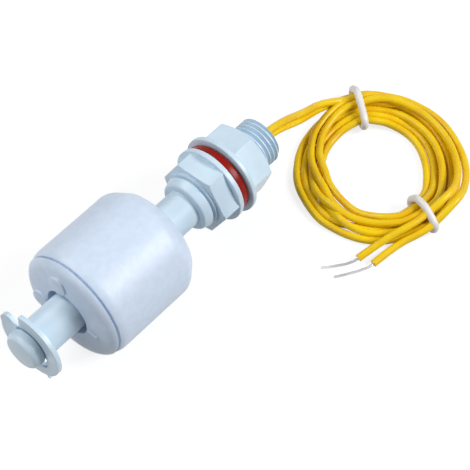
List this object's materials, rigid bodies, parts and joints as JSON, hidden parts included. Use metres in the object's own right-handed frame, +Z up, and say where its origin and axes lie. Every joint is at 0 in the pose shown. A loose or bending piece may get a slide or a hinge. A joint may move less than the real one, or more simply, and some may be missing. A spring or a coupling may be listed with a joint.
{
  "type": "float level switch",
  "caption": "Vertical liquid level switch with a sliding float on a plastic stem, a lock nut with gasket, and a tied coil of two wires.",
  "frame": {"origin": "middle of the switch's length and width, on the table it lies on, measured without the wires outside it", "axes": "+X along the stem from the clip end to the wires, +Z up"},
  "size_m": [0.0993, 0.0481, 0.0233],
  "materials": {
    "body_plastic": "satin moulded polypropylene",
    "clip_plastic": "satin moulded polypropylene",
    "float_plastic": "satin moulded polypropylene",
    "nut_plastic": "satin moulded polypropylene",
    "ferrite": "dark sintered ferrite",
    "silicone": "smooth red silicone",
    "resin": "dark potting resin",
    "glass": "clear sealed glass",
    "reed_metal": "plated iron alloy",
    "sleeve": "thin insulating sleeve",
    "solder": "soft solder",
    "wire_jacket": "glossy yellow insulation",
    "tinned_copper": "tinned stranded copper",
    "tie_plastic": "soft white tie"
  },
  "bodies": {
    "switch": {"stem_body": "body_plastic", "retaining_clip": "clip_plastic", "potting_plug": "resin", "reed_glass": "glass", "reed_blade_a": "reed_metal", "reed_blade_b": "reed_metal", "lead_sleeve": "sleeve", "solder_joint_a": "solder", "solder_joint_b": "solder", "wire_a_inner": "wire_jacket", "wire_b_inner": "wire_jacket", "wire_a_lead": "wire_jacket", "wire_b_lead": "wire_jacket", "wire_coil": "wire_jacket", "wire_a_tail": "wire_jacket", "wire_b_tail": "wire_jacket", "tinned_end_a": "tinned_copper", "tinned_end_b": "tinned_copper", "first_tie": "tie_plastic", "second_tie": "tie_plastic"},
    "float": {"float_shell": "float_plastic", "float_cap": "float_plastic", "ring_magnet": "ferrite"},
    "gasket_ring": {"gasket": "silicone"},
    "nut": {"lock_nut": "nut_plastic"}
  },
  "joints": [
    {"name": "float_slide", "type": "slide", "parent": "switch", "child": "float", "axis": [1, 0, 0], "range_m": [-0.0081, 0.0078]},
    {"name": "gasket_slide", "type": "slide", "parent": "switch", "child": "gasket_ring", "axis": [1, 0, 0], "range_m": [0, 0.006]},
    {"name": "nut_turn", "type": "hinge", "parent": "gasket_ring", "child": "nut", "pos_m": [0.02343, 0, 0.01165], "axis": [1, 0, 0], "range_deg": [0, 2160]}
  ],
  "couplings": [
    {"joint": "nut_turn", "follows": "gasket_slide", "rad_per_m": 6283.2}
  ]
}
